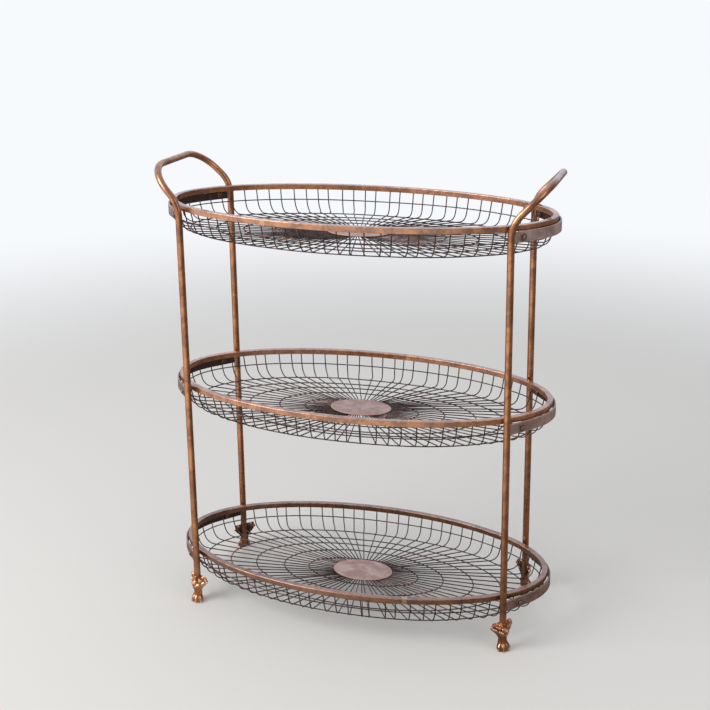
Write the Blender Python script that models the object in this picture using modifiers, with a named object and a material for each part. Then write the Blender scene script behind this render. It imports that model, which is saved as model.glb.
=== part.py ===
"""Three-tier wire basket rack: two bent-tube end frames that carry three oval baskets.

X runs along the baskets, Y from front to back and Z up. The origin is on the floor, in the middle.
"""

import math

import bmesh
import bpy
import numpy as np
from mathutils import Matrix, Vector

# Driving dimensions, in metres unless the name says otherwise.
BASKET_LENGTH = 0.762       # rim, outside, along X
BASKET_DEPTH = 0.370        # rim, outside, along Y
TIER_PITCH = 0.359          # from rim to rim
BARE_LEG = 0.018            # tube that shows between a foot and the lowest band
SEAT_GAP = 0.0003           # left between pieces that rest on each other
HOLE_CLEARANCE = 0.0003     # round a bolt or a tube in its hole
CUT_OVERRUN = 0.002         # how far a hole's cutter stands out of the plate
MERGE_DISTANCE = 0.00003

# Rims are ovals of square bar.
RIM_BAR = 0.011

# Each end frame is one tube: a leg, the handle's grip and the other leg.
TUBE_DIAMETER = 0.013
LEG_ANGLE = math.radians(35.5)    # eccentric angle on the rim's oval where a leg stands
LEG_CLEARANCE = 0.0058            # from the rim's outer face to the side of the tube
KNEE_RISE = 0.0100                # the knee's corner, above the middle of the top rim
KNEE_RADIUS = 0.061
GRIP_RISE = 0.0750                # the grip's axis, above the middle of the top rim
GRIP_INSET = 0.0015               # the grip's axis, inside the end of the basket
GRIP_WIDTH = 0.216                # between the grip's two corners
GRIP_RADIUS = 0.064

# Bands are curved flat bars round the ends of each basket, from leg to leg. Each follows the rim,
# and its last stretch at either end runs straight to the side of the tube.
BAND_HEIGHT = 0.018
BAND_THICKNESS = 0.003
BAND_GAP = 0.0025           # from the rim's outer face to the band's inner face
BAND_DROP = 0.0005          # from the rim's underside down to the band's top edge
BAND_STRAIGHT = 0.048       # along the rim, from the leg to where the band starts to follow it
BEAD_PAST_STRAIGHT = (0.008, 0.052)
BEAD_LENGTH = 0.009
BEAD_UNDER_RIM = 0.0034
BEAD_INTO_BAND = 0.0017
BEAD_BELOW_EDGE = 0.0028    # how far a bead runs down the inside of the band

# One bolt beside each leg at each basket, with a washer outside and a nut inside.
BOLT_FROM_LEG = {"bottom": 0.039, "middle": 0.033, "top": 0.026}    # from the leg's axis
BOLT_DIAMETER = 0.006
BOLT_HEAD_DIAMETER = 0.009
BOLT_HEAD_HEIGHT = 0.003
BOLT_END = 0.001            # thread that shows past the nut
WASHER_DIAMETER = 0.0155
WASHER_THICKNESS = 0.0012
NUT_WIDTH = 0.010           # across flats
NUT_THICKNESS = 0.005
HEAD_TOP_SHARE = 0.55       # flat top of the head, of its diameter
HEAD_EDGE_SHARE = 0.45      # upright edge of the head, of its height

# Nets hang under the rims: radial wires that cross rings.
WIRE_DIAMETER = 0.0024
NET_DEPTH = 0.051           # from the middle of the rim down to the floor's wires
WALL_RING_DROP = 0.027      # from the middle of the rim
WALL_RING_INSET = 0.0095    # from the rim's outer face
FLOOR_END_INSET = 0.038     # from the rim's outer face to the floor's edge, at the ends
FLOOR_SIDE_INSET = 0.0245   # the same, at the front and the back
FLOOR_RING_SHARES = (0.34, 0.67)    # of the way from the floor's edge to the hub ring
HUB_INSET = 0.008           # the hub ring, inside the disc's edge

DISC_LENGTH = 0.124
DISC_DEPTH = 0.079
DISC_THICKNESS = 0.0025

# Feet are cast: a paw, a shank and a crown of two leaf wings that meet in a ridge and sweep back
# and up from it. The tube stands on the sole in a channel, which is open at the back.
FOOT_FACING = math.radians(45)
FOOT_BACK = 0.0045          # behind the tube's axis
SOLE_THICKNESS = 0.003
PAW_WIDTH = 0.028
PAW_REACH = 0.0145          # from the tube's axis to the toes
CLEFT_DEPTH = 0.002
SHANK_WALL = 0.0014         # round the channel
RIDGE_HEIGHT = 0.045        # top of the ridge
RIDGE_REACH = 0.0110        # from the tube's axis forwards
WING_SPAN = 0.0465          # from tip to tip
WING_SWEEP = 0.0064         # the tips, behind the tube's axis
WING_LIFT = 0.015           # the tips, above the ridge
WING_THICKNESS = 0.0035
PAW_SHARES = ((0.0, 0.90), (0.11, 1.0), (0.22, 0.92), (0.32, 0.74))            # height, reach
SHANK_SHARES = ((0.44, 1.04), (0.56, 1.0), (0.68, 1.02))                       # height, radius
CROWN_SHARES = ((0.77, 0.30), (0.86, 0.62), (0.94, 0.86), (1.0, 1.0))          # height, spread

# Counts.
TIER_NAMES = ("bottom", "middle", "top")
RIM_POINTS = 56
NET_WIRES = 32
DISC_POINTS = 28
BAND_BENDS = 14
KNEE_STEPS = 5
GRIP_STEPS = 7
FOOT_FRONT_POINTS = 9
FOOT_BACK_POINTS = 7
CHANNEL_SIDES = 16
TOES = 4
BOLT_STEPS = 8
WASHER_STEPS = 10
NUT_SIDES = 6
BEAD_SIDES = 6
BEAD_RINGS = 4
TUBE_ROUNDNESS = 4          # Blender's bevel resolution: twelve sides
OUTLINE_STEPS = 1440
# The most that an arc takes up of the straight runs before and after its corner.
KNEE_LIMIT_SHARES = (0.49, 0.30)
GRIP_LIMIT_SHARES = (0.69, 0.49)

# Colours as linear red, green and blue.
COPPER = (0.42, 0.19, 0.09, 1.0)
DARK_COPPER = (0.20, 0.09, 0.045, 1.0)
WIRE_BROWN = (0.045, 0.025, 0.018, 1.0)
DISC_ROSE = (0.30, 0.20, 0.17, 1.0)
FOOT_GOLD = (0.62, 0.33, 0.14, 1.0)
STEEL = (0.45, 0.38, 0.33, 1.0)

# Sizes that follow from the driving dimensions.
TUBE_RADIUS = TUBE_DIAMETER / 2
BAND_TOP = -RIM_BAR / 2 - BAND_DROP                     # below the middle of the rim
BAND_MIDDLE_OUTSET = BAND_GAP + BAND_THICKNESS / 2
LEG_OUTSET = LEG_CLEARANCE + TUBE_RADIUS
FOOT_HEIGHT = RIDGE_HEIGHT + WING_LIFT
LOWEST_RIM = FOOT_HEIGHT + BARE_LEG + BAND_HEIGHT + BAND_DROP + RIM_BAR / 2
RIM_HEIGHTS = tuple(LOWEST_RIM + TIER_PITCH * tier for tier in range(len(TIER_NAMES)))
UP = Vector((0, 0, 1))


def clear_scene():
    for old in list(bpy.data.objects):
        bpy.data.objects.remove(old, do_unlink=True)


def new_collection(name):
    collection = bpy.data.collections.new(name)
    bpy.context.scene.collection.children.link(collection)
    return collection


def finish(name, colour, roughness, metallic):
    """A plain metal finish for one piece."""
    material = bpy.data.materials.new(name + "_finish")
    material.use_nodes = True
    shader = material.node_tree.nodes["Principled BSDF"]
    shader.inputs["Base Color"].default_value = colour
    shader.inputs["Roughness"].default_value = roughness
    shader.inputs["Metallic"].default_value = metallic
    material.diffuse_color = colour
    return material


def add_part(name, data, parent, colour, roughness=0.4, metallic=0.8):
    """Puts a piece of the rack, with a finish of its own, under its parent."""
    part = bpy.data.objects.new(name, data)
    part.data.materials.append(finish(name, colour, roughness, metallic))
    part.parent = parent
    rack.objects.link(part)
    return part


def add_cutter(name, data, parent):
    """Puts a shape that only a Boolean reads among the cutters."""
    cutter = bpy.data.objects.new(name, data)
    cutter.parent = parent
    cutter.hide_render = True
    cutter.display_type = "WIRE"
    cutters.objects.link(cutter)
    return cutter


def add_boolean(part, operation, tool):
    """Cuts the tool out of a piece, or joins it to the piece."""
    boolean = part.modifiers.new(tool.name, "BOOLEAN")
    boolean.operation = operation
    boolean.object = tool
    boolean.solver = "EXACT"


def add_empty(name, parent, height):
    empty = bpy.data.objects.new(name, None)
    empty.parent = parent
    empty.location.z = height
    rack.objects.link(empty)
    return empty


def mesh_from(name, bm, smooth_angle=math.radians(40)):
    """Turns a bmesh into a mesh that is smooth except where it bends sharply."""
    mesh = bpy.data.meshes.new(name)
    bm.normal_update()
    bm.to_mesh(mesh)
    bm.free()
    mesh.shade_smooth()
    mesh.set_sharp_from_angle(angle=smooth_angle)
    return mesh


def oval(half_length, half_depth, angles):
    """Points of an oval at the given eccentric angles."""
    return np.stack((half_length * np.cos(angles), half_depth * np.sin(angles)), axis=-1)


def rim_point(angle, outset):
    """A point outside the rim's outer face by outset, and the direction square to the face there."""
    half_length = BASKET_LENGTH / 2
    half_depth = BASKET_DEPTH / 2
    outward = Vector((math.cos(angle) / half_length, math.sin(angle) / half_depth, 0)).normalized()
    on_rim = Vector((half_length * math.cos(angle), half_depth * math.sin(angle), 0))
    return on_rim + outward * outset, outward


def outline_lengths():
    """Eccentric angles once round the rim, and how much of its outline lies before each."""
    angles = np.linspace(0, math.tau, OUTLINE_STEPS + 1)
    steps = np.diff(oval(BASKET_LENGTH / 2, BASKET_DEPTH / 2, angles), axis=0)
    lengths = np.concatenate(([0], np.cumsum(np.linalg.norm(steps, axis=1))))
    return angles, lengths


def angle_from_leg(distance):
    """The eccentric angle that lies a distance along the outline from a leg, towards the end."""
    angles, lengths = outline_lengths()
    leg = np.interp(LEG_ANGLE, angles, lengths)
    return float(np.interp(leg - distance, lengths, angles))


def wire_angles():
    """Eccentric angles that share the rim's outline evenly among the radial wires."""
    angles, lengths = outline_lengths()
    return np.interp(np.linspace(0, lengths[-1], NET_WIRES, endpoint=False), lengths, angles)


def loft(name, rings, close_ends):
    """Joins closed rings of points, each with the one before, and can close both ends."""
    bm = bmesh.new()
    rows = [[bm.verts.new(point) for point in ring] for ring in rings]
    for below, above in zip(rows, rows[1:]):
        for here in range(len(below)):
            after = (here + 1) % len(below)
            bm.faces.new((below[here], below[after], above[after], above[here]))
    if close_ends:
        caps = [bm.faces.new(reversed(rows[0])), bm.faces.new(rows[-1])]
        bmesh.ops.poke(bm, faces=caps)
    return mesh_from(name, bm)


def flat_shape(name, outlines, thickness):
    """A plate from closed outlines, the inner ones being holes, centred on its thickness."""
    curve = bpy.data.curves.new(name, "CURVE")
    curve.dimensions = "2D"
    curve.fill_mode = "BOTH"
    curve.extrude = thickness / 2
    for outline in outlines:
        spline = curve.splines.new("POLY")
        spline.points.add(len(outline) - 1)
        for point, place in zip(spline.points, outline):
            point.co = (place[0], place[1], 0, 1)
        spline.use_cyclic_u = True
    return curve


def turned(name, profile, steps, closed, parent, colour):
    """A turned piece from a profile of radius and height, which runs down its outer side."""
    bm = bmesh.new()
    points = [bm.verts.new((radius, 0, height)) for radius, height in profile]
    for start, end in zip(points, points[1:]):
        bm.edges.new((start, end))
    if closed:
        bm.edges.new((points[-1], points[0]))
    mesh = bpy.data.meshes.new(name)
    bm.to_mesh(mesh)
    bm.free()
    piece = add_part(name, mesh, parent, colour)
    screw = piece.modifiers.new("Turn", "SCREW")
    screw.axis = "Z"
    screw.angle = math.tau
    screw.steps = steps
    screw.render_steps = steps
    screw.use_merge_vertices = True
    screw.merge_threshold = MERGE_DISTANCE
    screw.use_smooth_shade = False
    return piece


def regular_outline(sides, inner_radius):
    """A regular polygon whose sides lie inner_radius from its centre, one corner on +X."""
    angles = np.linspace(0, math.tau, sides, endpoint=False)
    corner_radius = inner_radius / math.cos(math.pi / sides)
    return oval(corner_radius, corner_radius, angles)


def rounded_path(corners, bends):
    """Points along straight runs between corners, with an arc at each inner corner.

    A bend is its radius, its steps and the shares of the runs before and after it that it may take.
    """
    path = [corners[0]]
    for index, (radius, steps, back_share, ahead_share) in enumerate(bends, start=1):
        corner = corners[index]
        back = corners[index - 1] - corner
        ahead = corners[index + 1] - corner
        half_angle = back.angle(ahead) / 2
        longest = min(back.length * back_share, ahead.length * ahead_share)
        radius = min(radius, longest * math.tan(half_angle))
        centre = corner + (back.normalized() + ahead.normalized()).normalized() * (
            radius / math.sin(half_angle))
        first = corner + back.normalized() * (radius / math.tan(half_angle)) - centre
        last = corner + ahead.normalized() * (radius / math.tan(half_angle)) - centre
        turn = first.rotation_difference(last)
        for step in range(steps + 1):
            part_turn = turn.copy()
            part_turn.angle = turn.angle * step / steps
            path.append(centre + part_turn @ first)
    path.append(corners[-1])
    return path


def tube_curve(name, radius):
    """The bent tube of one end, at +X: a leg, the handle and the other leg."""
    leg = rim_point(LEG_ANGLE, LEG_OUTSET)[0]
    top_rim = RIM_HEIGHTS[-1]
    grip_x = BASKET_LENGTH / 2 - GRIP_INSET
    tube_foot = SOLE_THICKNESS + SEAT_GAP
    corners = [
        Vector((leg.x, leg.y, tube_foot)),
        Vector((leg.x, leg.y, top_rim + KNEE_RISE)),
        Vector((grip_x, GRIP_WIDTH / 2, top_rim + GRIP_RISE)),
        Vector((grip_x, -GRIP_WIDTH / 2, top_rim + GRIP_RISE)),
        Vector((leg.x, -leg.y, top_rim + KNEE_RISE)),
        Vector((leg.x, -leg.y, tube_foot)),
    ]
    path = rounded_path(corners, (
        (KNEE_RADIUS, KNEE_STEPS, *KNEE_LIMIT_SHARES),
        (GRIP_RADIUS, GRIP_STEPS, *GRIP_LIMIT_SHARES),
        (GRIP_RADIUS, GRIP_STEPS, *reversed(GRIP_LIMIT_SHARES)),
        (KNEE_RADIUS, KNEE_STEPS, *reversed(KNEE_LIMIT_SHARES)),
    ))

    curve = bpy.data.curves.new(name, "CURVE")
    curve.dimensions = "3D"
    curve.bevel_depth = radius
    curve.bevel_resolution = TUBE_ROUNDNESS
    curve.use_fill_caps = True
    spline = curve.splines.new("POLY")
    spline.points.add(len(path) - 1)
    for point, place in zip(spline.points, path):
        point.co = (*place, 1)
        point.radius = 1
    return curve


def end_frame(name, turn):
    """The tube of one end, turned about Z. Returns the cutter for what meets its side."""
    frame = add_part(name, tube_curve(name, TUBE_RADIUS), base, COPPER, roughness=0.35)
    frame.rotation_euler.z = turn

    fatter = bpy.data.objects.new(name + "_room", tube_curve(name + "_room", TUBE_RADIUS + SEAT_GAP))
    cutters.objects.link(fatter)
    bpy.context.view_layer.update()
    evaluated = fatter.evaluated_get(bpy.context.evaluated_depsgraph_get())
    mesh = bpy.data.meshes.new_from_object(evaluated)
    bpy.data.objects.remove(fatter)
    bm = bmesh.new()
    bm.from_mesh(mesh)
    bmesh.ops.remove_doubles(bm, verts=bm.verts, dist=MERGE_DISTANCE)
    bm.to_mesh(mesh)
    bm.free()
    room = add_cutter(name + "_room", mesh, base)
    room.rotation_euler.z = turn
    return room


def rim(tier, parent):
    """An oval ring of square bar."""
    angles = np.linspace(0, math.tau, RIM_POINTS, endpoint=False)
    outer = oval(BASKET_LENGTH / 2, BASKET_DEPTH / 2, angles)
    inner = oval(BASKET_LENGTH / 2 - RIM_BAR, BASKET_DEPTH / 2 - RIM_BAR, angles)
    add_part("rim_" + tier, flat_shape("rim_" + tier, (outer, inner), RIM_BAR), parent, COPPER)


def net(tier, parent):
    """The wires of one basket: the lines of a dished surface that runs from the rim to the hub."""
    floor_length = BASKET_LENGTH / 2 - FLOOR_END_INSET
    floor_depth = BASKET_DEPTH / 2 - FLOOR_SIDE_INSET
    hub_length = DISC_LENGTH / 2 - HUB_INSET
    hub_depth = DISC_DEPTH / 2 - HUB_INSET
    rows = [
        (BASKET_LENGTH / 2 - RIM_BAR / 2, BASKET_DEPTH / 2 - RIM_BAR / 2,
         RIM_BAR / 2 + SEAT_GAP + WIRE_DIAMETER / 2),
        (BASKET_LENGTH / 2 - WALL_RING_INSET, BASKET_DEPTH / 2 - WALL_RING_INSET, WALL_RING_DROP),
    ]
    for share in (0, *FLOOR_RING_SHARES, 1):
        rows.append((
            floor_length + (hub_length - floor_length) * share,
            floor_depth + (hub_depth - floor_depth) * share,
            NET_DEPTH,
        ))
    angles = wire_angles()
    rings = [
        [(x, y, -drop) for x, y in oval(half_length, half_depth, angles)]
        for half_length, half_depth, drop in rows
    ]
    wires = add_part("net_" + tier, loft("net_" + tier, rings, False), parent, WIRE_BROWN)
    wireframe = wires.modifiers.new("Wires", "WIREFRAME")
    wireframe.thickness = WIRE_DIAMETER
    wireframe.offset = 0
    wireframe.use_boundary = True
    wireframe.use_replace = True
    wireframe.use_even_offset = True


def disc(tier, parent):
    """The oval plate that covers the place where the radial wires meet."""
    angles = np.linspace(0, math.tau, DISC_POINTS, endpoint=False)
    outline = oval(DISC_LENGTH / 2, DISC_DEPTH / 2, angles)
    name = "centre_disc_" + tier
    plate = add_part(name, flat_shape(name, (outline,), DISC_THICKNESS), parent, DISC_ROSE,
                     roughness=0.6, metallic=0.4)
    plate.location.z = -NET_DEPTH + WIRE_DIAMETER / 2 + SEAT_GAP + DISC_THICKNESS / 2


def band_straight(side):
    """A leg's axis and the way that the band's straight run leads from it, at +X."""
    leg = rim_point(side * LEG_ANGLE, LEG_OUTSET)[0]
    run_end = rim_point(side * angle_from_leg(BAND_STRAIGHT), BAND_MIDDLE_OUTSET)[0]
    return leg, (run_end - leg).normalized()


def bolt_seat(tier, side):
    """Where a bolt crosses the middle of the band at +X: a frame whose Z points out of the basket."""
    leg, along = band_straight(side)
    outward = UP.cross(along) * side
    seat = Matrix((UP, outward.cross(UP), outward)).transposed().to_4x4()
    seat.translation = leg + along * BOLT_FROM_LEG[tier] + UP * (BAND_TOP - BAND_HEIGHT / 2)
    return seat


def bead_shapes(name):
    """The four weld beads of a band, as one mesh at +X."""
    bm = bmesh.new()
    reach = BEAD_UNDER_RIM + BAND_GAP + BEAD_INTO_BAND
    height = BAND_DROP - SEAT_GAP + BEAD_BELOW_EDGE
    for side in (-1, 1):
        for distance in BEAD_PAST_STRAIGHT:
            angle = side * angle_from_leg(BAND_STRAIGHT + distance)
            place, outward = rim_point(angle, reach / 2 - BEAD_UNDER_RIM)
            along = UP.cross(outward)
            axes = Matrix((outward * reach / 2, UP * height / 2, -along * BEAD_LENGTH / 2))
            shape = axes.transposed().to_4x4()
            shape.translation = place + UP * (-RIM_BAR / 2 - SEAT_GAP - height / 2)
            bmesh.ops.create_uvsphere(bm, u_segments=BEAD_SIDES, v_segments=BEAD_RINGS, radius=1,
                                      matrix=shape)
    bmesh.ops.recalc_face_normals(bm, faces=bm.faces)
    return mesh_from(name, bm)


def hole_shapes(name, tier):
    """The cutters for a band's two bolt holes, as one mesh at +X."""
    bm = bmesh.new()
    radius = (BOLT_DIAMETER / 2 + HOLE_CLEARANCE) / math.cos(math.pi / BOLT_STEPS)
    for side in (-1, 1):
        bmesh.ops.create_cone(bm, cap_ends=True, segments=BOLT_STEPS, radius1=radius, radius2=radius,
                              depth=BAND_THICKNESS + 2 * CUT_OVERRUN, matrix=bolt_seat(tier, side))
    return mesh_from(name, bm)


def band(tier, end, turn, tube_room, parent):
    """A curved flat bar with its bolt holes and weld beads, modelled at +X and turned about Z."""
    name = f"band_{tier}_{end}"
    # Each straight run leads to a tube's axis, and the tube's room is then cut out of it.
    front_leg, back_leg = band_straight(-1)[0], band_straight(1)[0]
    follows = angle_from_leg(BAND_STRAIGHT)
    bends = [rim_point(angle, BAND_MIDDLE_OUTSET)[0]
             for angle in np.linspace(-follows, follows, BAND_BENDS + 1)]

    bm = bmesh.new()
    bottom = UP * (BAND_TOP - BAND_HEIGHT)
    lower = [bm.verts.new(place + bottom) for place in (front_leg, *bends, back_leg)]
    edges = [bm.edges.new(pair) for pair in zip(lower, lower[1:])]
    raised = bmesh.ops.extrude_edge_only(bm, edges=edges)["geom"]
    upper = [item for item in raised if isinstance(item, bmesh.types.BMVert)]
    bmesh.ops.translate(bm, verts=upper, vec=UP * BAND_HEIGHT)
    bar = add_part(name, mesh_from(name, bm), parent, DARK_COPPER)
    bar.rotation_euler.z = turn

    solidify = bar.modifiers.new("Thickness", "SOLIDIFY")
    solidify.thickness = BAND_THICKNESS
    solidify.offset = 0
    solidify.use_even_offset = True
    holes = add_cutter(name + "_holes", hole_shapes(name + "_holes", tier), parent)
    beads = add_cutter(name + "_beads", bead_shapes(name + "_beads"), parent)
    for tool in (holes, beads):
        tool.rotation_euler.z = turn
    add_boolean(bar, "DIFFERENCE", tube_room)
    add_boolean(bar, "DIFFERENCE", holes)
    add_boolean(bar, "UNION", beads)


def fasteners(tier, end, turn, side, parent):
    """The bolt, washer and nut beside one leg."""
    place = f"{tier}_{end}_" + ("front" if side * math.cos(turn) < 0 else "back")
    washer_foot = BAND_THICKNESS / 2 + SEAT_GAP
    head_foot = washer_foot + WASHER_THICKNESS + SEAT_GAP
    head_top = head_foot + BOLT_HEAD_HEIGHT
    nut_foot = -BAND_THICKNESS / 2 - SEAT_GAP - NUT_THICKNESS
    head_radius = BOLT_HEAD_DIAMETER / 2
    bolt = turned("bolt_" + place, (
        (0, head_top),
        (head_radius * HEAD_TOP_SHARE, head_top),
        (head_radius, head_foot + BOLT_HEAD_HEIGHT * HEAD_EDGE_SHARE),
        (head_radius, head_foot),
        (BOLT_DIAMETER / 2, head_foot),
        (BOLT_DIAMETER / 2, nut_foot - BOLT_END),
        (0, nut_foot - BOLT_END),
    ), BOLT_STEPS, False, parent, STEEL)

    hole_radius = BOLT_DIAMETER / 2 + HOLE_CLEARANCE
    washer_hole = hole_radius / math.cos(math.pi / WASHER_STEPS)
    washer = turned("washer_" + place, (
        (washer_hole, washer_foot + WASHER_THICKNESS),
        (WASHER_DIAMETER / 2, washer_foot + WASHER_THICKNESS),
        (WASHER_DIAMETER / 2, washer_foot),
        (washer_hole, washer_foot),
    ), WASHER_STEPS, True, parent, STEEL)

    outlines = (regular_outline(NUT_SIDES, NUT_WIDTH / 2), regular_outline(BOLT_STEPS, hole_radius))
    name = "nut_" + place
    nut = add_part(name, flat_shape(name, outlines, NUT_THICKNESS), parent, DARK_COPPER)

    seat = Matrix.Rotation(turn, 4, "Z") @ bolt_seat(tier, side)
    bolt.matrix_basis = seat
    washer.matrix_basis = seat
    nut.matrix_basis = seat @ Matrix.Translation(UP * (nut_foot + NUT_THICKNESS / 2))


def foot_ring(height, front, side, cleft=0, spread=0):
    """A ring of a foot that faces +X: its front from side to side, then its back.

    Clefts bound the toes, which share the front half turn. Spread, between 0 and 1, bends a round
    front into the two wings and lifts them towards their tips.
    """
    ring = []
    quarter = math.pi / 2
    for angle in np.linspace(-quarter, quarter, FOOT_FRONT_POINTS):
        depth = cleft * (1 + math.cos(2 * TOES * angle)) / 2
        outwards = abs(math.sin(angle))
        round_x = math.cos(angle) * (front - depth)
        wing_x = front - (front + WING_SWEEP) * outwards
        ring.append((round_x + (wing_x - round_x) * spread, math.sin(angle) * (side - depth),
                     height + WING_LIFT * spread * outwards ** 2))
    for angle in np.linspace(quarter, 3 * quarter, FOOT_BACK_POINTS + 2)[1:-1]:
        outwards = abs(math.sin(angle))
        behind = FOOT_BACK + (WING_SWEEP + WING_THICKNESS - FOOT_BACK) * spread * outwards ** 2
        ring.append((-behind, math.sin(angle) * side, height + WING_LIFT * spread * outwards ** 2))
    return ring


def foot(name, facing, place):
    """A cast foot that faces +X, with the tube's channel cut into it, then turned about Z."""
    bore = TUBE_RADIUS + HOLE_CLEARANCE
    shank = bore + SHANK_WALL
    rings = []
    for height, reach in PAW_SHARES:
        rings.append(foot_ring(RIDGE_HEIGHT * height, PAW_REACH * reach, PAW_WIDTH / 2 * reach,
                               cleft=CLEFT_DEPTH))
    for height, share in SHANK_SHARES:
        rings.append(foot_ring(RIDGE_HEIGHT * height, shank * share, shank * share))
    for height, spread in CROWN_SHARES:
        rings.append(foot_ring(RIDGE_HEIGHT * height, shank + (RIDGE_REACH - shank) * spread,
                               shank + (WING_SPAN / 2 - shank) * spread, spread=spread))
    piece = add_part(name, loft(name, rings, True), base, FOOT_GOLD, roughness=0.3)

    bm = bmesh.new()
    depth = FOOT_HEIGHT - SOLE_THICKNESS + CUT_OVERRUN
    corner_radius = bore / math.cos(math.pi / CHANNEL_SIDES)
    bmesh.ops.create_cone(bm, cap_ends=True, segments=CHANNEL_SIDES, radius1=corner_radius,
                          radius2=corner_radius, depth=depth,
                          matrix=Matrix.Translation(UP * (SOLE_THICKNESS + depth / 2)))
    channel = add_cutter(name + "_channel", mesh_from(name + "_channel", bm), base)
    for shape in (piece, channel):
        shape.location = place
        shape.rotation_euler.z = facing
    add_boolean(piece, "DIFFERENCE", channel)


def end_pieces(end, turn):
    """An end frame and its two feet, with the bands and fasteners that hold every basket there."""
    tube_room = end_frame("end_frame_" + end, turn)
    for side in (-1, 1):
        front = side * math.cos(turn) < 0
        leg = Matrix.Rotation(turn, 3, "Z") @ rim_point(side * LEG_ANGLE, LEG_OUTSET)[0]
        foot(f"foot_{'front' if front else 'back'}_{end}", turn + side * FOOT_FACING, leg)
    for tier, level in levels.items():
        band(tier, end, turn, tube_room, level)
        for side in (-1, 1):
            fasteners(tier, end, turn, side, level)


clear_scene()
rack = new_collection("tiered_wire_basket_rack")
cutters = new_collection("cutters")
base = add_empty("rack_base", None, 0)
levels = {tier: add_empty("tier_" + tier, base, height)
          for tier, height in zip(TIER_NAMES, RIM_HEIGHTS)}
for tier_name, level_empty in levels.items():
    rim(tier_name, level_empty)
    net(tier_name, level_empty)
    disc(tier_name, level_empty)
end_pieces("right", 0)
end_pieces("left", math.pi)
bpy.context.view_layer.update()
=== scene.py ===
import math

import bmesh
import bpy
import numpy as np
from mathutils import Matrix, Vector


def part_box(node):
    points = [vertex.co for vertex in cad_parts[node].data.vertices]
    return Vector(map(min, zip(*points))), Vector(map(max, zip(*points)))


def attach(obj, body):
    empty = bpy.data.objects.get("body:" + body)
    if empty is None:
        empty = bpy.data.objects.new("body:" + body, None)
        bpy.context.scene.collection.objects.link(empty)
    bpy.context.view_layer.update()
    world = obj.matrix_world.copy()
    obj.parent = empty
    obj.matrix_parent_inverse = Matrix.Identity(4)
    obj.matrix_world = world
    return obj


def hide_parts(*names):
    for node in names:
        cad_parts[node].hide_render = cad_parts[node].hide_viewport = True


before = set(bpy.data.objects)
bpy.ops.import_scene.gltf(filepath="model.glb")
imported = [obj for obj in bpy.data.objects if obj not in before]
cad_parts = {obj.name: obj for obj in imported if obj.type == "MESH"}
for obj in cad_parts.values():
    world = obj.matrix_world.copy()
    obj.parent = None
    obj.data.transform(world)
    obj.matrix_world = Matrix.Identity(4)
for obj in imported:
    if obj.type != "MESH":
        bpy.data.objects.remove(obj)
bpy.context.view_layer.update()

scene = bpy.context.scene
tierNames = ("bottom", "middle", "top")
endSigns = {"left": -1, "right": 1}
sideSigns = {"front": -1, "back": 1}
upward = np.array((0.0, 0.0, 1.0))
print("frame loaded with", len(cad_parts), "CAD nodes")


# Sizes that the CAD nodes give

def corners(node):
    # lowest and highest corner of a node as arrays
    return [np.array(corner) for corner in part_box(node)]


def middle(node):
    # half of the lowest corner plus half of the highest
    low, high = corners(node)
    return (low + high) / 2


rimLow, rimHigh = corners("rim_top")
halfLength, halfDepth = rimHigh[0], rimHigh[1]
barWidth = rimHigh[2] - rimLow[2]
rimHeights = {tier: middle("rim_" + tier)[2] for tier in tierNames}
frameLow, frameHigh = corners("end_frame_right")
tube = {
    "radius": 0.0065,
    "kneeRise": 0.01,    # above the middle of the top rim
    "gripWidth": 0.216,
    "bendRadii": (0.061, 0.064, 0.064, 0.061),    # knee, both ends of the grip, knee
    "arcSteps": 22,
    "runSteps": 24,
    "roundSteps": 28,
}
legX = frameLow[0] + tube["radius"]
legY = frameHigh[1] - tube["radius"]
gripX = frameHigh[0] - tube["radius"]
gripHeight = frameHigh[2] - tube["radius"]


# Shapes as whole arrays

def gridFaces(rows, columns, closeRows=False, closeColumns=True):
    # each face joins a point with the next in its row and the two beside them in the next row
    row = np.arange(rows if closeRows else rows - 1)[:, None]
    column = np.arange(columns if closeColumns else columns - 1)[None, :]
    rowAfter, columnAfter = (row + 1) % rows, (column + 1) % columns
    quads = (row * columns + column, row * columns + columnAfter,
             rowAfter * columns + columnAfter, rowAfter * columns + column)
    return np.stack(np.broadcast_arrays(*quads), axis=-1).reshape(-1, 4)


def withPoles(points):
    # the mean of the first ring before the rings, and the mean of the last ring after them
    first, last = (np.broadcast_to(ring.mean(axis=-2, keepdims=True), ring.shape)
                   for ring in (points[..., :1, :, :], points[..., -1:, :, :]))
    return np.concatenate((first, points, last), axis=-3)


def shell(points, wearAndPaintedLight=0.0, closeRows=False):
    # a grid of points whose rows are rings; an open one gets a pole at each end
    rows, columns = points.shape[:2]
    wearAndPaintedLight = np.broadcast_to(wearAndPaintedLight, (rows, columns)).astype(float)
    if not closeRows:
        points = withPoles(points)
        wearAndPaintedLight = np.concatenate((wearAndPaintedLight[:1], wearAndPaintedLight, wearAndPaintedLight[-1:]))
    return points.reshape(-1, 3), gridFaces(len(points), columns, closeRows), wearAndPaintedLight.reshape(-1)


def copies(points, wearAndPaintedLight):
    # one open shell for each grid of a stack of grids with the same counts
    points = withPoles(points)
    count, rows, columns = points.shape[:3]
    moved = gridFaces(rows, columns)[None] + (np.arange(count) * rows * columns)[:, None, None]
    return points.reshape(-1, 3), moved.reshape(-1, 4), np.full(count * rows * columns, wearAndPaintedLight)


def carried(path, across, up, profile):
    # a profile's two numbers are steps along across and up at each point of the path
    return (path[..., None, :] + profile[..., 0:1] * across[..., None, :]
            + profile[..., 1:2] * up[..., None, :])


def unit(vectors):
    # each vector divided by its length
    return vectors / np.linalg.norm(vectors, axis=-1, keepdims=True)


def circle(radius, steps):
    # cosine and sine of even turns, times the radius
    turn = np.linspace(0, math.tau, steps, endpoint=False)
    return radius * np.stack((np.cos(turn), np.sin(turn)), axis=-1)


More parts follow.
